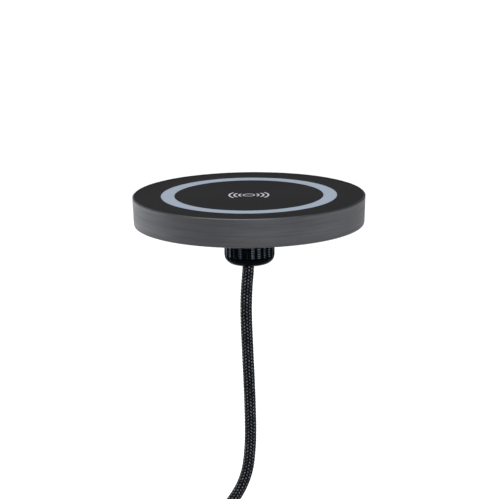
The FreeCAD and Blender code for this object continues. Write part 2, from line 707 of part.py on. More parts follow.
export("housing_ring", housing_ring())
export("top_plate", top_plate())
export("light_ring", light_ring())
export("centre_disc", centre_disc())
export("charge_icon", charge_icon())

export("base_plate", base_plate())
export("base_screws", at_angles(base_screw, BASE_SCREW_RADIUS, BASE_SCREW_ANGLES))
export("foot_ring", foot_ring())

export("threaded_stem", threaded_stem())
export("stem_screws", at_angles(stem_screw, STEM_SCREW_RADIUS, STEM_SCREW_ANGLES))
export("cord_collar", cord_collar())
export("cord_bush", cord_bush())
export("clamp_washer", clamp_washer())
export("thumb_nut", thumb_nut())

export("coil_foam", cylinder(COIL_TRAY_RADIUS - 0.2, FOAM_BOTTOM_Z, SEAT_Z))
export("transmit_coil", transmit_coil())
export("coil_leads", coil_leads())
export("temperature_sensor", box(2.4, 1.6, COIL_BOTTOM_Z, COIL_BOTTOM_Z + 0.9))
export("ferrite_plate", ferrite_plate())
export("coil_carrier", coil_carrier())
export("light_guide", light_guide())
export("status_leds", on_board(1.6, 3.0, 0.7, LED_RADIUS, [i * 360 / LED_COUNT for i in range(LED_COUNT)]))
export("main_board", main_board())
export("board_screws", at_angles(board_screw, POST_RADIUS, POST_ANGLES))
export("controller_chip", on_board(5.0, 5.0, 0.9, 18.6, [0]))
export("power_switches", on_board(5.0, 4.0, 1.0, 22.0, [52, 68, 112, 128]))
export("resonance_capacitors", on_board(3.2, 2.5, 1.3, 22.0, [232, 243, 254, 286, 297, 308]))
export("power_inductor", on_board(6.0, 6.0, 1.5, 22.5, [180]))
export("inner_leads", inner_leads())

export("cord", tube("cord", CORD_ROUTE, CORD_DIAMETER))
export("cord_hank", cord_hank())
tail_route = [(TAIL_X, TAIL_Y, TAIL_TOP_Z), (TAIL_X, TAIL_Y, RELIEF_TOP_Z - RELIEF_GRIP)]
export("cord_tail", tube("cord_tail", tail_route, CORD_DIAMETER))
export("hank_tie", hank_tie())
export("plug_relief", plug_relief())
export("plug_body", plug_body())
export("plug_shell", plug_shell())
export("plug_insert", plug_insert())
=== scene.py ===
"""Looks of a round wireless charging pad with its clamp nut and braided cord.

Metres, +Z up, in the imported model's frame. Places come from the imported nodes' boxes, and the cord
follows the same route points as the CAD part.
"""

import math

import bpy
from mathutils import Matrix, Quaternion, Vector


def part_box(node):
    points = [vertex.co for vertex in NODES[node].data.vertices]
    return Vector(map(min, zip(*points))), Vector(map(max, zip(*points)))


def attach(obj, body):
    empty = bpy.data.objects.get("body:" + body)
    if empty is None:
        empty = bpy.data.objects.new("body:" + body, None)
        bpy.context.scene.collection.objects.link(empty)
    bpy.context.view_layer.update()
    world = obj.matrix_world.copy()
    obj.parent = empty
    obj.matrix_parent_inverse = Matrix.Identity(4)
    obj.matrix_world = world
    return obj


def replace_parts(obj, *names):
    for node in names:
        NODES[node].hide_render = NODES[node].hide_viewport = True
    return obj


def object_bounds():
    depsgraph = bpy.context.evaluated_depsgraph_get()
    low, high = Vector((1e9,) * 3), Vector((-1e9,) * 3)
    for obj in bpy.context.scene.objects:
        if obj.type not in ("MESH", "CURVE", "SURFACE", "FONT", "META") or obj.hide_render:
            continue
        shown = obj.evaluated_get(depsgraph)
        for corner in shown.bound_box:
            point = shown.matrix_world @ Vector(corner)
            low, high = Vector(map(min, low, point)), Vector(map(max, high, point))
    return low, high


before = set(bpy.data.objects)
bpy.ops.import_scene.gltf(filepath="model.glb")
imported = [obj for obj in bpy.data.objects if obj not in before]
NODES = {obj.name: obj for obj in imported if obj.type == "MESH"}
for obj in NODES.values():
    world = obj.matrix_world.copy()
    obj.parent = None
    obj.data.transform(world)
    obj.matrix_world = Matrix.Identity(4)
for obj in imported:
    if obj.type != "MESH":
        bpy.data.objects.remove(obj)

cad_low, cad_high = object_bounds()

MM = 0.001

# ---- the camera, the light and the floor --------------------------------------------------------
PAD_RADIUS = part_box("housing_ring")[1].x
TOP_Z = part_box("centre_disc")[1].z
CAMERA_ELEVATION = math.radians(11.72)
CAMERA_DISTANCE = 26.9 * PAD_RADIUS
CAMERA_ROLL = math.radians(0.63)
CAMERA_TILT = math.radians(0.99364)     # how far below the middle of the pad's top it looks
CAMERA_LENS = 226.2834      # millimetres
SENSOR_WIDTH = 36.0         # millimetres
CLIP_END = 100
FLOOR_GAP = 0.03            # from the plug's end down to the floor
FLOOR_HALF_SIDE = 14.0
HORIZON_STRENGTH = 0.95
OVERHEAD_STRENGTH = 0.22
OVERHEAD_FROM = 0.22        # a direction's height from which the surroundings are dimmest
SUN_STRENGTH = 2.95
SUN_ANGLE = math.radians(40)
SUN_TILT = (math.radians(12), math.radians(-8), 0)
STRIP_DISTANCE = 1.1
STRIP_Z = 0.10
STRIP_HEIGHT = 0.65
STRIP_AIM = (0, 0, -0.03)
STRIP_COLOUR = (0.93, 0.96, 1.0)
STRIPS = (                  # name, azimuth from the front in degrees, width in metres, watts
    ("strip_left", -104, 0.015, 5.5),
    ("strip_front", 12, 0.012, 3.6),
    ("strip_right", 84, 0.02, 4.0),
    ("strip_edge", -140, 0.25, 3.2),
)

# ---- the cord -----------------------------------------------------------------------------------
CORD_DIAMETER = 4.0 * MM
LAYER_PITCH = 4.1 * MM      # from the hank's near layer to its far one
HANK_FOLD_RADII = (12.2 * MM, 16.3 * MM, 20.4 * MM)
HANK_TOP_Z = -126.0 * MM    # centre of the upper folds
HANK_RUN = 60.0 * MM        # from the upper folds' centre down to the lower ones'
HANK_SQUEEZE = 10.15 * MM   # how far the strap draws each side in at the waist
TIE_WIDTH = 12.0 * MM
TIE_THICKNESS = 1.0 * MM
CORD_ROUTE_MM = [
    (0.0, 0.0, 4.8),
    (0.0, 0.0, -11.0),
    (-1.6, 0.2, -27.0),
    (-1.0, -0.1, -45.0),
    (-0.4, -0.2, -62.0),
    (-0.2, 0.1, -78.0),
    (-1.9, -0.4, -91.0),
    (-9.0, -1.0, -102.0),
    (-17.2, -2.05, -109.5),
]
TAIL_ROUTE_MM = [
    (-22.0, 2.05, -182.0),
    (-23.5, 2.05, -192.0),
    (-23.5, 2.05, -200.0),
    (-23.5, 2.05, -207.0),
]
FOLD_STEPS = 6              # control points round each fold
BRAID_PAIRS = 12            # strands that wind each way
BRAID_LAY = 13.8 * MM       # length in which a strand goes once round
RELIEF = 0.22 * MM          # how far the braid's strands stand out
RELIEF_MIDDLE = 0.62        # the braid height that lies on the cord's true radius
STRAND_CROWN = 2.6          # how round a strand's top is
STRAND_RISE = 0.65          # how much of its height a strand gains and loses as it weaves
FREE_LENGTH = 125.0 * MM    # the stretch with its strands modelled, as far as the hank
FREE_SIDES = 64
FREE_STEP = 0.33 * MM
PACKED_SIDES = FREE_SIDES // 2
PACKED_STEP = 0.9 * MM
NUT_RIBS = 24


# ---- node materials -----------------------------------------------------------------------------
class Shade:
    """A material with a Principled shader, and short calls that add nodes to it."""

    def __init__(self, name):
        self.material = bpy.data.materials.new(name)
        self.material.use_nodes = True
        self.tree = self.material.node_tree
        self.shader = self.tree.nodes["Principled BSDF"]

    def node(self, kind, **settings):
        made = self.tree.nodes.new(kind)
        for key, value in settings.items():
            setattr(made, key, value)
        return made

    def join(self, source, target):
        self.tree.links.new(source, target)

    def feed(self, socket, value):
        if isinstance(value, bpy.types.NodeSocket):
            self.join(value, socket)
        else:
            socket.default_value = value

    def math(self, operation, *values):
        made = self.node("ShaderNodeMath", operation=operation)
        for socket, value in zip(made.inputs, values):
            self.feed(socket, value)
        return made.outputs[0]

    def mix(self, factor, low, high):
        """A colour between low and high."""
        made = self.node("ShaderNodeMix", data_type="RGBA")
        self.feed(made.inputs["Factor"], factor)
        self.feed(made.inputs["A"], low)
        self.feed(made.inputs["B"], high)
        return made.outputs["Result"]

    def ramp(self, value, low, high, to_low=0.0, to_high=1.0):
        """The value, stretched from low..high to to_low..to_high and held there."""
        made = self.node("ShaderNodeMapRange")
        for socket, number in zip(made.inputs, (value, low, high, to_low, to_high)):
            self.feed(socket, number)
        return made.outputs["Result"]

    def place(self, scale=(1, 1, 1)):
        """Object coordinates in metres, times the scale."""
        coordinates = self.node("ShaderNodeTexCoord").outputs["Object"]
        mapping = self.node("ShaderNodeMapping")
        self.join(coordinates, mapping.inputs["Vector"])
        mapping.inputs["Scale"].default_value = scale
        return mapping.outputs["Vector"]

    def noise(self, where, scale=1.0, detail=4.0, roughness=0.55):
        made = self.node("ShaderNodeTexNoise")
        self.join(where, made.inputs["Vector"])
        made.inputs["Scale"].default_value = scale
        made.inputs["Detail"].default_value = detail
        made.inputs["Roughness"].default_value = roughness
        return made.outputs["Fac"]

    def round_axis(self, along, around, outward):
        """Coordinates that run round the Z axis, each scaled: height, angle and radius."""
        split = self.node("ShaderNodeSeparateXYZ")
        self.join(self.node("ShaderNodeTexCoord").outputs["Object"], split.inputs[0])
        x, y, z = split.outputs
        angle = self.math("ARCTAN2", y, x)
        square = self.math("ADD", self.math("MULTIPLY", x, x), self.math("MULTIPLY", y, y))
        radius = self.math("SQRT", square)
        joined = self.node("ShaderNodeCombineXYZ")
        for socket, value, scale in zip(joined.inputs, (z, angle, radius), (along, around, outward)):
            self.join(self.math("MULTIPLY", value, scale), socket)
        return joined.outputs[0]

    def surface(self, colour, roughness, metallic=0.0, specular=0.5, **others):
        """Feeds the shader. Others are its sockets in lower case, such as sheen_weight."""
        sockets = {"Base Color": colour, "Roughness": roughness, "Metallic": metallic,
                   "Specular IOR Level": specular}
        sockets.update({key.replace("_", " ").title(): value for key, value in others.items()})
        for name, value in sockets.items():
            self.feed(self.shader.inputs[name], value)
        return self

    def bump(self, height, depth, strength=1.0):
        made = self.node("ShaderNodeBump")
        made.inputs["Strength"].default_value = strength
        made.inputs["Distance"].default_value = depth
        self.join(height, made.inputs["Height"])
        self.join(made.outputs["Normal"], self.shader.inputs["Normal"])
        return self


def rgb(red, green, blue):
    """An opaque colour, in linear light."""
    return (red, green, blue, 1.0)


def brushed_wall():
    """Dark anodised aluminium with long fine scratches round the wall."""
    shade = Shade("gunmetal_brushed")
    broad = shade.noise(shade.round_axis(900, 1.1, 900), detail=5.0, roughness=0.65)
    fine = shade.noise(shade.round_axis(5200, 3.0, 5200), detail=2.0, roughness=0.5)
    cloud = shade.noise(shade.place((30, 30, 60)), detail=2.0)
    grain = shade.math("ADD", shade.math("MULTIPLY", broad, 0.6), shade.math("MULTIPLY", fine, 0.4))
    tone = shade.ramp(grain, 0.3, 0.7)
    colour = shade.mix(tone, rgb(0.048, 0.048, 0.051), rgb(0.074, 0.074, 0.078))
    colour = shade.mix(shade.ramp(cloud, 0.35, 0.7, 0.0, 0.25), colour, rgb(0.060, 0.060, 0.063))
    rough = shade.ramp(grain, 0.3, 0.7, 0.56, 0.42)
    shade.surface(colour, rough, metallic=1.0, anisotropic=0.55)
    tangent = shade.node("ShaderNodeTangent", direction_type="RADIAL", axis="Z")
    shade.join(tangent.outputs[0], shade.shader.inputs["Tangent"])
    return shade.bump(grain, 0.012 * MM, 0.6).material


def black_top():
    """Matte black moulded top with a very fine spark texture."""
    shade = Shade("top_black")
    fine = shade.noise(shade.place(), scale=4200, detail=3.0, roughness=0.7)
    cloud = shade.noise(shade.place(), scale=22, detail=2.0)
    colour = shade.mix(shade.ramp(fine, 0.35, 0.7),
                       rgb(0.0105, 0.0105, 0.0112), rgb(0.0150, 0.0150, 0.0158))
    rough = shade.ramp(cloud, 0.3, 0.7, 0.56, 0.64)
    shade.surface(colour, rough, specular=0.05)
    return shade.bump(fine, 0.012 * MM, 0.5).material


def frosted_ring():
    """Unlit frosted diffuser: pale blue-grey, in places a little deeper."""
    shade = Shade("ring_frosted")
    spark = shade.noise(shade.place(), scale=3000, detail=3.0)
    cloud = shade.noise(shade.round_axis(10, 1.5, 60), detail=2.0)
    pale = shade.mix(shade.ramp(spark, 0.35, 0.65), rgb(0.255, 0.300, 0.365), rgb(0.305, 0.355, 0.430))
    colour = shade.mix(shade.ramp(cloud, 0.3, 0.7, 0.0, 0.3), pale, rgb(0.26, 0.30, 0.36))
    shade.surface(colour, 0.5, specular=0.2, subsurface_weight=0.15, subsurface_scale=0.0006)
    return shade.bump(spark, 0.01 * MM, 0.4).material


def printed_ink():
    """Pale screen-printed ink."""
    shade = Shade("icon_ink")
    spark = shade.noise(shade.place(), scale=5000, detail=2.0)
    colour = shade.mix(shade.ramp(spark, 0.3, 0.7), rgb(0.44, 0.43, 0.48), rgb(0.56, 0.55, 0.60))
    return shade.surface(colour, 0.5, specular=0.2).material


def moulded(name, dark, light, rough, specular=0.25, grain=1500.0, depth=0.02):
    """Moulded plastic or rubber with an eroded grain."""
    shade = Shade(name)
    fine = shade.noise(shade.place(), scale=grain, detail=4.0, roughness=0.6)
    cloud = shade.noise(shade.place(), scale=35, detail=2.0)
    colour = shade.mix(shade.ramp(fine, 0.35, 0.65), dark, light)
    shade.surface(colour, shade.ramp(cloud, 0.3, 0.7, rough - 0.05, rough + 0.05), specular=specular)
    return shade.bump(fine, depth * MM, 0.5).material


def nut_gloss():
    """Glossy black plastic, with the mould's fine upright drag marks."""
    shade = Shade("nut_gloss_black")
    drag = shade.noise(shade.round_axis(120, 46, 300), detail=4.0)
    fine = shade.noise(shade.place(), scale=2600, detail=3.0)
    colour = shade.mix(drag, rgb(0.0005, 0.0008, 0.0013), rgb(0.0012, 0.0017, 0.0024))
    shade.surface(colour, shade.ramp(fine, 0.3, 0.7, 0.09, 0.16), specular=0.01)
    return shade.bump(fine, 0.012 * MM, 0.5).material


def ribs_with_painted_highlight():
    """The crests of the nut's ribs: black plastic with a painted highlight, paler on some ribs than on
    others.
    """
    shade = Shade("knurl_gloss_black")
    # Painted highlight: noise picks some ribs, whose crests are coloured pale blue-grey where the strip
    # lights would glint.
    painted_highlight_mask = shade.ramp(shade.noise(shade.round_axis(30, 4.4, 0), detail=1.0), 0.40, 0.60)
    fine = shade.noise(shade.place(), scale=2600, detail=3.0)
    colour = shade.mix(painted_highlight_mask, rgb(0.003, 0.005, 0.008), rgb(0.16, 0.19, 0.235))
    shade.surface(colour, shade.ramp(fine, 0.3, 0.7, 0.12, 0.22), specular=0.2)
    return shade.bump(fine, 0.012 * MM, 0.5).material


def turned_metal(name, dark, light, rough):
    """Turned and plated metal, with fine lines round the Z axis."""
    shade = Shade(name)
    lathe = shade.noise(shade.round_axis(5200, 0.6, 5200), detail=3.0)
    colour = shade.mix(shade.ramp(lathe, 0.3, 0.7), dark, light)
    shade.surface(colour, shade.ramp(lathe, 0.3, 0.7, rough - 0.06, rough + 0.06), metallic=1.0)
    return shade.bump(lathe, 0.006 * MM, 0.5).material


def plated(name, dark, light, stretch=(1, 1, 1)):
    """Plated metal with fine scuffs, drawn out along an axis by a small stretch."""
    shade = Shade(name)
    scuff = shade.noise(shade.place(stretch), scale=900, detail=5.0, roughness=0.7)
    colour = shade.mix(scuff, dark, light)
    shade.surface(colour, shade.ramp(scuff, 0.3, 0.7, 0.24, 0.40), metallic=1.0)
    return shade.bump(scuff, 0.004 * MM, 0.3).material


def braid():
    """Glossy black braid: two sets of strands, each over two and under two, with fine filaments.

    The mesh's UV holds turns round the cord and lengths of the braid's lay."""
    shade = Shade("cord_braid_black")
    split = shade.node("ShaderNodeSeparateXYZ")
    shade.join(shade.node("ShaderNodeTexCoord").outputs["UV"], split.inputs[0])
    turn, lay = split.outputs[0], split.outputs[1]
    right = shade.math("MULTIPLY", shade.math("ADD", turn, lay), BRAID_PAIRS)
    left = shade.math("MULTIPLY", shade.math("SUBTRACT", turn, lay), BRAID_PAIRS)
    right_cell = shade.math("FLOOR", right)
    left_cell = shade.math("FLOOR", left)
    weave = shade.math("FLOORED_MODULO", shade.math("ADD", right_cell, left_cell), 4.0)
    right_on_top = shade.math("LESS_THAN", weave, 1.5)

    filaments = 5

    def strand(own, own_cell, other, start):
        """Height of one set of strands where it lies on top, from 0 to 1, and its filaments."""
        across = shade.math("SUBTRACT", shade.math("SUBTRACT", own, own_cell), 0.5)
        square = shade.math("MULTIPLY", across, across)
        crown = shade.math("SUBTRACT", 1.0, shade.math("MULTIPLY", square, STRAND_CROWN))
        along = shade.math("FLOORED_MODULO", shade.math("ADD", own_cell, other), 4.0)
        along = shade.math("MULTIPLY", shade.math("SUBTRACT", along, start), math.pi / 2)
        rise = shade.math("MULTIPLY", shade.math("SINE", along), STRAND_RISE)
        rise = shade.math("ADD", rise, 1 - STRAND_RISE)
        filament = shade.math("SINE", shade.math("MULTIPLY", own, 2 * math.pi * filaments))
        crown = shade.math("ADD", crown, shade.math("MULTIPLY", filament, 0.07))
        return shade.math("MULTIPLY", crown, rise)

    right_height = strand(right, right_cell, left, 0.0)
    left_height = strand(left, left_cell, right, 2.0)
    height = shade.node("ShaderNodeMix", data_type="FLOAT")
    shade.join(right_on_top, height.inputs["Factor"])
    shade.join(left_height, height.inputs["A"])
    shade.join(right_height, height.inputs["B"])
    height = height.outputs["Result"]
    fuzz = shade.noise(shade.place(), scale=2500, detail=2.0)
    # Painted sheen: the strands' crowns, broken up by noise, are coloured pale where the strip lights
    # would glint on the gloss.
    crown_sheen_mask = shade.math("MULTIPLY", shade.ramp(height, 0.72, 0.95), shade.ramp(fuzz, 0.38, 0.62))
    # Painted shade: the base colour darkens with the braid's height, down into the gaps between the
    # strands.
    painted_gap_shade = shade.mix(shade.ramp(height, 0.1, 0.7),
                     rgb(0.0002, 0.0002, 0.0004), rgb(0.0018, 0.0018, 0.0028))
    colour = shade.mix(crown_sheen_mask, painted_gap_shade, rgb(0.225, 0.236, 0.265))
    shade.surface(colour, shade.ramp(height, 0.2, 1.0, 0.6, 0.20), specular=0.03)
    return shade.bump(height, RELIEF, 1.0).material


def woven_strap():
    """Hook-and-loop strap: a tight rib weave with a soft looped face."""
    shade = Shade("strap_woven")
    fuzz = shade.noise(shade.place(), scale=3600, detail=4.0, roughness=0.7)
    split = shade.node("ShaderNodeSeparateXYZ")
    shade.join(shade.node("ShaderNodeTexCoord").outputs["Object"], split.inputs[0])
    rib_pitch, pick_pitch = 0.9 * MM, 1.1 * MM
    ribs = shade.math("SINE", shade.math("MULTIPLY", split.outputs[2], 2 * math.pi / rib_pitch))
    picks = shade.math("SINE", shade.math("MULTIPLY", split.outputs[0], 2 * math.pi / pick_pitch))
    weave = shade.math("ADD", shade.math("MULTIPLY", shade.math("MULTIPLY", ribs, picks), 0.5),
                       shade.math("MULTIPLY", fuzz, 0.9))
    colour = shade.mix(shade.ramp(weave, 0.1, 0.9), rgb(0.003, 0.003, 0.004), rgb(0.034, 0.034, 0.038))
    shade.surface(colour, 0.85, specular=0.1, sheen_weight=0.15, sheen_roughness=0.5)
    return shade.bump(weave, 0.25 * MM, 0.9).material


def board_green():
    """Green solder mask with buried copper tracks."""
    shade = Shade("circuit_board_green")
    tracks = shade.noise(shade.round_axis(200, 14, 900), detail=0.0)
    line = shade.math("GREATER_THAN", shade.math("SINE", shade.math("MULTIPLY", tracks, 60.0)), 0.55)
    colour = shade.mix(line, rgb(0.012, 0.085, 0.045), rgb(0.03, 0.16, 0.08))
    shade.surface(colour, 0.35, specular=0.5)
    return shade.bump(line, 0.02 * MM, 0.5).material


def litz():
    """Enamelled copper strands, wound flat."""
    shade = Shade("copper_litz")
    strands = shade.noise(shade.round_axis(3000, 9, 3000), detail=3.0)
    colour = shade.mix(shade.ramp(strands, 0.3, 0.7), rgb(0.30, 0.10, 0.035), rgb(0.62, 0.27, 0.11))
    shade.surface(colour, 0.32, metallic=1.0)
    return shade.bump(strands, 0.05 * MM, 0.7).material


def finish_nodes():
    """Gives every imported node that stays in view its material."""
    rubber = moulded("rubber_black", rgb(0.005, 0.005, 0.006), rgb(0.012, 0.012, 0.013), 0.72, 0.12, 1800)
    base = moulded("base_moulded", rgb(0.014, 0.014, 0.015), rgb(0.026, 0.026, 0.028), 0.55, 0.3,
                   1300, 0.03)
    chip = moulded("chip_epoxy", rgb(0.012, 0.012, 0.013), rgb(0.022, 0.022, 0.024), 0.5, 0.4, 2500)
    oxide = turned_metal("washer_black_oxide", rgb(0.030, 0.030, 0.032), rgb(0.055, 0.055, 0.058), 0.38)
    stem = turned_metal("stem_black_zinc", rgb(0.045, 0.045, 0.048), rgb(0.085, 0.085, 0.09), 0.32)
    screws = plated("screw_plated", rgb(0.42, 0.42, 0.43), rgb(0.66, 0.66, 0.66))
    top = black_top()
    copper = litz()
    finishes = {
        "housing_ring": brushed_wall(),
        "top_plate": top,
        "centre_disc": top,
        "light_ring": frosted_ring(),
        "charge_icon": printed_ink(),
        "base_plate": base,
        "base_screws": turned_metal("screw_black_oxide", rgb(0.05, 0.05, 0.053),
                                    rgb(0.09, 0.09, 0.094), 0.35),
        "foot_ring": rubber,
        "threaded_stem": stem,
        "stem_screws": screws,
        "cord_collar": screws,
        "cord_bush": rubber,
        "clamp_washer": oxide,
        "thumb_nut": nut_gloss(),
        "coil_foam": moulded("foam_grey", rgb(0.05, 0.05, 0.055), rgb(0.10, 0.10, 0.11), 0.9, 0.1,
                             900, 0.08),
        "transmit_coil": copper,
        "coil_leads": copper,
        "temperature_sensor": chip,
        "ferrite_plate": moulded("ferrite_grey", rgb(0.03, 0.03, 0.032), rgb(0.06, 0.06, 0.064), 0.6),
        "coil_carrier": moulded("carrier_white", rgb(0.42, 0.42, 0.40), rgb(0.55, 0.55, 0.52), 0.5),
        "light_guide": moulded("guide_milky", rgb(0.60, 0.63, 0.66), rgb(0.72, 0.75, 0.78), 0.3, 0.5),
        "status_leds": moulded("led_cream", rgb(0.60, 0.57, 0.42), rgb(0.75, 0.72, 0.58), 0.35, 0.5),
        "main_board": board_green(),
        "board_screws": screws,
        "controller_chip": chip,
        "power_switches": chip,
        "resonance_capacitors": moulded("capacitor_tan", rgb(0.30, 0.20, 0.12),
                                        rgb(0.40, 0.28, 0.17), 0.4, 0.5),
        "power_inductor": moulded("inductor_grey", rgb(0.06, 0.06, 0.064),
                                  rgb(0.10, 0.10, 0.106), 0.5, 0.4),
        "inner_leads": moulded("lead_red", rgb(0.30, 0.01, 0.01), rgb(0.40, 0.02, 0.02), 0.4, 0.5),
        "plug_relief": rubber,
        "plug_body": moulded("plug_soft_black", rgb(0.006, 0.006, 0.007),
                             rgb(0.013, 0.013, 0.0145), 0.45, 0.2, 2200),
        "plug_shell": plated("plug_nickel", rgb(0.30, 0.30, 0.31), rgb(0.40, 0.40, 0.40), (1, 1, 0.06)),
        "plug_insert": chip,
    }
    for node, material in finishes.items():
        slots = NODES[node].data.materials
        slots.clear()
        slots.append(material)


# ---- mesh helpers -------------------------------------------------------------------------------
def mesh_object(name, points, faces, material, smooth=True):
    """A mesh in the scene, with one material."""
    mesh = bpy.data.meshes.new(name)
    mesh.from_pydata([tuple(p) for p in points], [], faces)
    mesh.materials.append(material)
    mesh.validate()
    for face in mesh.polygons:
        face.use_smooth = smooth
    made = bpy.data.objects.new(name, mesh)
    bpy.context.scene.collection.objects.link(made)
    return made


def ring_faces(first, second):
    """Quads between two closed rings of the same number of points."""
    count = len(first)
    after = [(i + 1) % count for i in range(count)]
    return [(first[i], first[after[i]], second[after[i]], second[i]) for i in range(count)]


# ---- the cord -----------------------------------------------------------------------------------
def hank_points():
    """Control points of the folded length: three loops inwards on the near layer, three outwards on the
    far one. Each goes down the left side, round the lower fold, up the right side and round the upper
    fold."""
    radii = sorted(HANK_FOLD_RADII, reverse=True)
    loops = [(r, -LAYER_PITCH / 2) for r in radii] + [(r, LAYER_PITCH / 2) for r in reversed(radii)]
    loops.append(loops[-1])
    last = len(loops) - 1
    step = math.pi / FOLD_STEPS
    middle_z = HANK_TOP_Z - HANK_RUN / 2
    past_strap = 0.5 * MM
    waist = (TIE_WIDTH / 2 + past_strap) * 0.75
    heights = (waist, -waist)   # two points a side keep the run straight inside the strap

    def size_at(number, share):
        """A loop's radius and depth, which move to the next loop's over its second half."""
        radius, depth = loops[number]
        after_radius, after_depth = loops[min(number + 1, last)]
        moved = max((share - 0.5) / 0.5, 0.0)
        return radius + (after_radius - radius) * moved, depth + (after_depth - depth) * moved

    def waist_points(number, share, side, along):
        """The two points of one side's run, where the strap draws it in."""
        radius, depth = size_at(number, share)
        return [(side * (radius - HANK_SQUEEZE), depth, middle_z + height) for height in along]

    def fold_points(number, first_share, span, first_turn, centre_z):
        """The points round one fold."""
        found = []
        for i in range(FOLD_STEPS):
            radius, depth = size_at(number, first_share + span * i / FOLD_STEPS)
            turn = first_turn + step * (i + 0.5)
            wide = radius / math.cos(step / 2)
            found.append((wide * math.cos(turn), depth, centre_z + wide * math.sin(turn)))
        return found

    points = []
    for number in range(last):
        points += waist_points(number, 0.0, -1, heights)
        points += fold_points(number, 0.1, 0.3, math.pi, HANK_TOP_Z - HANK_RUN)
        points += waist_points(number, 0.5, 1, reversed(heights))
        points += fold_points(number, 0.6, 0.4, 0.0, HANK_TOP_Z)
    return points + waist_points(last, 0.0, -1, heights)


def cord_line():
    """The cord's centreline: one NURBS spline through the route, the hank and the tail."""
    start = [tuple(c * MM for c in p) for p in CORD_ROUTE_MM]
    beside, above = 0.3 * MM, 2.0 * MM      # where the cord joins the outer loop
    entry = (-max(HANK_FOLD_RADII) - beside, -LAYER_PITCH / 2, HANK_TOP_Z + above)
    tail = [tuple(c * MM for c in p) for p in TAIL_ROUTE_MM]
    points = start + [entry] + hank_points() + tail
    curve = bpy.data.curves.new("cord_route", "CURVE")
    curve.dimensions = "3D"
    spline = curve.splines.new("NURBS")
    spline.points.add(len(points) - 1)
    for point, place in zip(spline.points, points):
        point.co = (*place, 1.0)
    spline.order_u = 3
    spline.use_endpoint_u = True
    spline.resolution_u = 10
    holder = bpy.data.objects.new("cord_route", curve)
    bpy.context.scene.collection.objects.link(holder)
    bpy.context.view_layer.update()
    line = bpy.data.meshes.new_from_object(holder)
    places = [v.co.copy() for v in line.vertices]
    bpy.data.objects.remove(holder)
    bpy.data.meshes.remove(line)
    return places


def evenly(places, first_step, then_step, change_at):
    """Points along the line, first_step apart up to the length change_at and then_step apart after it,
    each with its length from the start."""
    found = [(places[0], 0.0)]
    travelled = 0.0
    target = first_step
    for before, after in zip(places, places[1:]):
        span = (after - before).length
        while span > 0 and travelled + span >= target:
            found.append((before.lerp(after, (target - travelled) / span), target))
            target += first_step if target < change_at else then_step
        travelled += span
    found.append((places[-1], travelled))
    return found


def braid_height(turn, lay):
    """The braid's relief at a point of its surface, from 0 to 1, as the material draws it."""
    right = BRAID_PAIRS * (turn + lay)
    left = BRAID_PAIRS * (turn - lay)
    if (math.floor(right) + math.floor(left)) % 4 < 1.5:
        across = right - math.floor(right) - 0.5
        along = (math.floor(right) + left) % 4
    else:
        across = left - math.floor(left) - 0.5
        along = (right + math.floor(left)) % 4 - 2
    rise = 1 - STRAND_RISE + STRAND_RISE * math.sin(along * math.pi / 2)
    return (1 - STRAND_CROWN * across * across) * rise


def cord_rings(line):
    """Points, faces and braid coordinates of a tube round the line, its strands in relief where it
    hangs free. A braid coordinate is a turn round the cord and a length in lays."""
    places = evenly(line, FREE_STEP, PACKED_STEP, FREE_LENGTH)
    points, faces, coordinates = [], [], []
    tangent = (places[1][0] - places[0][0]).normalized()
    side = Vector((1, 0, 0))
    previous = None
    for i, (place, length) in enumerate(places):
        ahead = places[min(i + 1, len(places) - 1)][0] - places[max(i - 1, 0)][0]
        turned = ahead.normalized()
        side = tangent.rotation_difference(turned) @ side
        side = (side - turned * side.dot(turned)).normalized()
        tangent = turned
        other = tangent.cross(side)
        free = length < FREE_LENGTH
        sides = FREE_SIDES if free else PACKED_SIDES
        lay = length / BRAID_LAY
        ring = []
        for k in range(sides):
            turn = k / sides
            relief = RELIEF * (braid_height(turn, lay) - RELIEF_MIDDLE) if free else 0.0
            angle = 2 * math.pi * turn
            reach = CORD_DIAMETER / 2 + relief
            ring.append(len(points))
            points.append(place + (side * math.cos(angle) + other * math.sin(angle)) * reach)
            coordinates.append((turn, lay))
        if previous and len(previous) == len(ring):
            faces += ring_faces(previous, ring)
        elif previous:
            faces += halving_faces(previous, ring)
        previous = ring
    faces.append(tuple(reversed(range(FREE_SIDES))))
    faces.append(tuple(previous))
    return points, faces, coordinates


def halving_faces(first, second):
    """Faces from a ring to one with half as many points."""
    found = []
    for k in range(len(second)):
        after = (k + 1) % len(second)
        found.append((first[2 * k], first[2 * k + 1], first[(2 * k + 2) % len(first)],
                      second[after], second[k]))
    return found


def lay_out_braid(mesh, coordinates):
    """Gives the mesh its braid coordinates as UVs. A face across the seam counts on past one turn."""
    layer = mesh.uv_layers.new(name="braid")
    most_corners = 5        # no face of the tube's wall has more, but its two ends do
    for face in mesh.polygons:
        corners = [coordinates[mesh.loops[j].vertex_index] for j in face.loop_indices]
        turns = [turn for turn, lay in corners]
        on_seam = max(turns) - min(turns) > 0.5 and len(turns) <= most_corners
        for j, (turn, lay) in zip(face.loop_indices, corners):
            layer.data[j].uv = (turn + 1.0 if on_seam and turn < 0.5 else turn, lay)


def make_cord():
    """The braided cord as one tube, with the line that it follows and that line's length."""
    line = cord_line()
    points, faces, coordinates = cord_rings(line)
    cord = mesh_object("cord_braided", points, faces, braid())
    lay_out_braid(cord.data, coordinates)
    length = sum((b - a).length for a, b in zip(line, line[1:]))
    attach(cord, "pad")
    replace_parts(cord, "cord", "cord_hank", "cord_tail")
    return cord, line, length


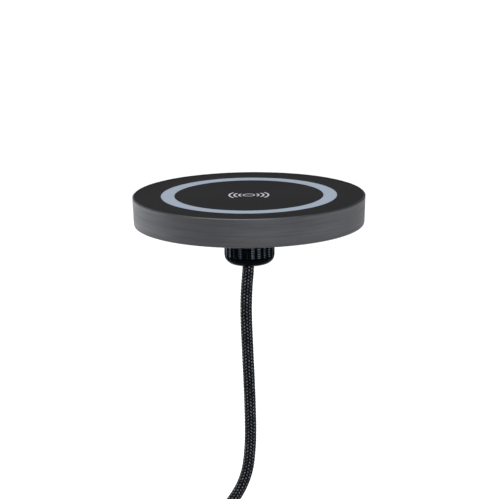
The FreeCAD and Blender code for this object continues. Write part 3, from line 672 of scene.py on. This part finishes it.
# ---- the strap round the hank -------------------------------------------------------------------
def strap_path():
    """The strap's path seen from above: once round the hank, then on over its own start."""
    half_x = max(HANK_FOLD_RADII) + CORD_DIAMETER / 2 - HANK_SQUEEZE + TIE_THICKNESS / 2
    half_y = LAYER_PITCH + TIE_THICKNESS / 2
    corner = 2.4 * MM
    arc_steps = 6
    begin_x, end_x = -4 * MM, 9 * MM
    climb = Vector((1.2 * MM, -0.9 * MM, 0))    # the step up over the strap's own start
    lifted = 1.05 * MM      # the lapped end lies this far out from the first turn
    start = Vector((begin_x, -half_y, 0))
    path = [start]
    for quarter, (sx, sy) in enumerate(((1, -1), (1, 1), (-1, 1), (-1, -1))):
        for i in range(arc_steps + 1):
            angle = math.radians(-90 + 90 * quarter + 90 * i / arc_steps)
            path.append(Vector((sx * (half_x - corner) + corner * math.cos(angle),
                                sy * (half_y - corner) + corner * math.sin(angle), 0)))
    path += [start + climb, Vector((0, -half_y - lifted, 0)), Vector((end_x, -half_y - lifted, 0))]
    return path


def make_strap():
    """A hook-and-loop strap wound once and a fifth round the hank's waist, its end on the near side."""
    low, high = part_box("hank_tie")
    middle_z = (low.z + high.z) / 2
    spacing = 1.2 * MM
    path = strap_path()
    dense = []
    for before, after in zip(path, path[1:]):
        pieces = max(1, int((after - before).length / spacing))
        dense += [before.lerp(after, i / pieces) for i in range(pieces)]
    dense.append(path[-1])
    end_share, end_growth, end_rings = 0.78, 0.08, 3    # its two ends are rounded
    # The section, as shares of half the width and half the thickness, with its corners taken off.
    section = [(-1, -0.8), (-0.96, -1), (0.96, -1), (1, -0.8), (1, 0.8), (0.96, 1), (-0.96, 1), (-1, 0.8)]
    points, faces = [], []
    previous = None
    for i, place in enumerate(dense):
        ahead = (dense[min(i + 1, len(dense) - 1)] - dense[max(i - 1, 0)]).normalized()
        outward = Vector((ahead.y, -ahead.x, 0))
        from_end = min(i, len(dense) - 1 - i)
        half_width = TIE_WIDTH / 2
        if from_end < end_rings:
            half_width *= end_share + end_growth * from_end
        ring = []
        for across, up in section:
            ring.append(len(points))
            upward = Vector((0, 0, middle_z + across * half_width))
            points.append(place + upward + outward * up * TIE_THICKNESS / 2)
        if previous:
            faces += ring_faces(previous, ring)
        previous = ring
    faces.append(tuple(reversed(range(len(section)))))
    faces.append(tuple(previous))
    strap = mesh_object("hank_strap", points, faces, woven_strap())
    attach(strap, "pad")
    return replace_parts(strap, "hank_tie")


# ---- small details ------------------------------------------------------------------------------
def make_knurl():
    """Small chevron ridges on each of the nut's ribs."""
    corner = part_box("thumb_nut")[1]
    seat = corner.x - 0.05 * MM
    crest = corner.x + 0.12 * MM
    first_z = corner.z - 0.75 * MM
    pitch = 0.62 * MM
    rows = 8
    half_angle = math.radians(3.5)
    drop = 0.28 * MM
    half_band = 0.15 * MM
    points, faces = [], []
    for rib in range(NUT_RIBS):
        middle = 2 * math.pi * (rib + 0.5) / NUT_RIBS
        for row in range(rows):
            top = first_z - row * pitch
            for side in (-1, 1):
                ends = []
                for share in (0.0, 1.0):
                    angle = middle + side * half_angle * share
                    z = top - drop * (1 - share)
                    out = Vector((math.cos(angle), math.sin(angle), 0))
                    trio = [out * seat + Vector((0, 0, z - half_band)),
                            out * crest + Vector((0, 0, z)),
                            out * seat + Vector((0, 0, z + half_band))]
                    ends.append([len(points) + k for k in range(3)])
                    points += trio
                near, far = ends
                faces += [(near[0], far[0], far[1], near[1]), (near[1], far[1], far[2], near[2]),
                          (near[2], far[2], far[0], near[0]), tuple(near), tuple(reversed(far))]
    # The ridges carry a painted highlight on the nut's black plastic.
    knurl = mesh_object("nut_knurl", points, faces, ribs_with_painted_highlight(), smooth=False)
    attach(knurl, "nut")


def make_contacts():
    """The plug's two rows of spring contacts, inside its insert."""
    low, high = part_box("plug_insert")
    middle = (low + high) / 2
    shade = Shade("contact_gold")
    wear = shade.noise(shade.place(), scale=2200, detail=3.0)
    shade.surface(shade.mix(wear, rgb(0.75, 0.48, 0.15), rgb(0.92, 0.66, 0.28)), 0.25, metallic=1.0)
    points, faces = [], []
    count = 12
    pitch = 0.5 * MM
    half_width = 0.13 * MM
    face, back = 0.40 * MM, 0.33 * MM       # a contact's two sides, from the insert's middle
    tip_z, root_z = low.z + 0.5 * MM, low.z + 4.2 * MM
    for row in (-1, 1):
        face_y = middle.y + row * face
        inner_y = middle.y + row * back
        for i in range(count):
            x = middle.x + (i - (count - 1) / 2) * pitch
            base = len(points)
            for z in (tip_z, root_z):
                for y in (face_y, inner_y):
                    for dx in (-half_width, half_width):
                        points.append((x + dx, y, z))
            faces += [tuple(base + k for k in quad) for quad in
                      ((0, 1, 3, 2), (4, 6, 7, 5), (0, 4, 5, 1), (2, 3, 7, 6), (0, 2, 6, 4), (1, 5, 7, 3))]
    contacts = mesh_object("plug_contacts", points, faces, shade.material, smooth=False)
    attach(contacts, "pad")
    return contacts


# ---- the studio ---------------------------------------------------------------------------------
def make_floor():
    """A matte white floor, well below the plug."""
    shade = Shade("floor_white")
    cloud = shade.noise(shade.place(), scale=1.5, detail=2.0)
    shade.surface(shade.mix(cloud, rgb(0.90, 0.90, 0.90), rgb(0.93, 0.93, 0.93)), 0.9, specular=0.0)
    z = cad_low.z - FLOOR_GAP
    edge = FLOOR_HALF_SIDE
    corners = [(-edge, -edge, z), (edge, -edge, z), (edge, edge, z), (-edge, edge, z)]
    floor = mesh_object("floor", corners, [(0, 1, 2, 3)], shade.material, smooth=False)


def make_world():
    """Soft white surroundings, brightest at the horizon and dimmer overhead."""
    world = bpy.data.worlds.new("studio")
    bpy.context.scene.world = world
    world.use_nodes = True
    tree = world.node_tree
    background = tree.nodes["Background"]
    split = tree.nodes.new("ShaderNodeSeparateXYZ")
    tree.links.new(tree.nodes.new("ShaderNodeTexCoord").outputs["Generated"], split.inputs[0])
    fade = tree.nodes.new("ShaderNodeMapRange")
    tree.links.new(split.outputs[2], fade.inputs["Value"])
    for socket, value in (("From Min", 0.0), ("From Max", OVERHEAD_FROM),
                          ("To Min", HORIZON_STRENGTH), ("To Max", OVERHEAD_STRENGTH)):
        fade.inputs[socket].default_value = value
    tree.links.new(fade.outputs["Result"], background.inputs["Strength"])
    background.inputs["Color"].default_value = rgb(0.97, 0.98, 1.0)


def strip_light(name, azimuth, width, power):
    """An upright area light, aimed at the cord a little below the nut."""
    light = bpy.data.lights.new(name, "AREA")
    light.shape = "RECTANGLE"
    light.size = width
    light.size_y = STRIP_HEIGHT
    light.energy = power
    light.color = STRIP_COLOUR
    turn = math.radians(azimuth)
    holder = bpy.data.objects.new(name, light)
    holder.location = (STRIP_DISTANCE * math.sin(turn), -STRIP_DISTANCE * math.cos(turn), STRIP_Z)
    holder.rotation_euler = (Vector(STRIP_AIM) - holder.location).to_track_quat("-Z", "Y").to_euler()
    holder.visible_camera = False
    bpy.context.scene.collection.objects.link(holder)


def make_lights():
    """An even light from above, and four upright strips for the gloss."""
    sun = bpy.data.lights.new("overhead", "SUN")
    sun.energy = SUN_STRENGTH
    sun.angle = SUN_ANGLE
    holder = bpy.data.objects.new("overhead", sun)
    holder.rotation_euler = SUN_TILT
    bpy.context.scene.collection.objects.link(holder)
    for strip in STRIPS:
        strip_light(*strip)


def make_camera():
    """A distant camera in front, a little above the pad."""
    data = bpy.data.cameras.new("camera")
    data.sensor_width = SENSOR_WIDTH
    data.lens = CAMERA_LENS
    data.clip_end = CLIP_END
    camera = bpy.data.objects.new("camera", data)
    back = Vector((0, -math.cos(CAMERA_ELEVATION), math.sin(CAMERA_ELEVATION)))
    camera.location = Vector((0, 0, TOP_Z)) + back * CAMERA_DISTANCE
    look = Quaternion((1, 0, 0), math.pi / 2 - CAMERA_ELEVATION - CAMERA_TILT)
    camera.rotation_mode = "QUATERNION"
    camera.rotation_quaternion = look @ Quaternion((0, 0, 1), -CAMERA_ROLL)
    bpy.context.scene.collection.objects.link(camera)
    bpy.context.scene.camera = camera


make_camera()
make_floor()
make_world()
make_lights()
bpy.context.scene.view_settings.view_transform = "Standard"

finish_nodes()
cord, cord_path, cord_length = make_cord()
strap = make_strap()
make_knurl()
contacts = make_contacts()
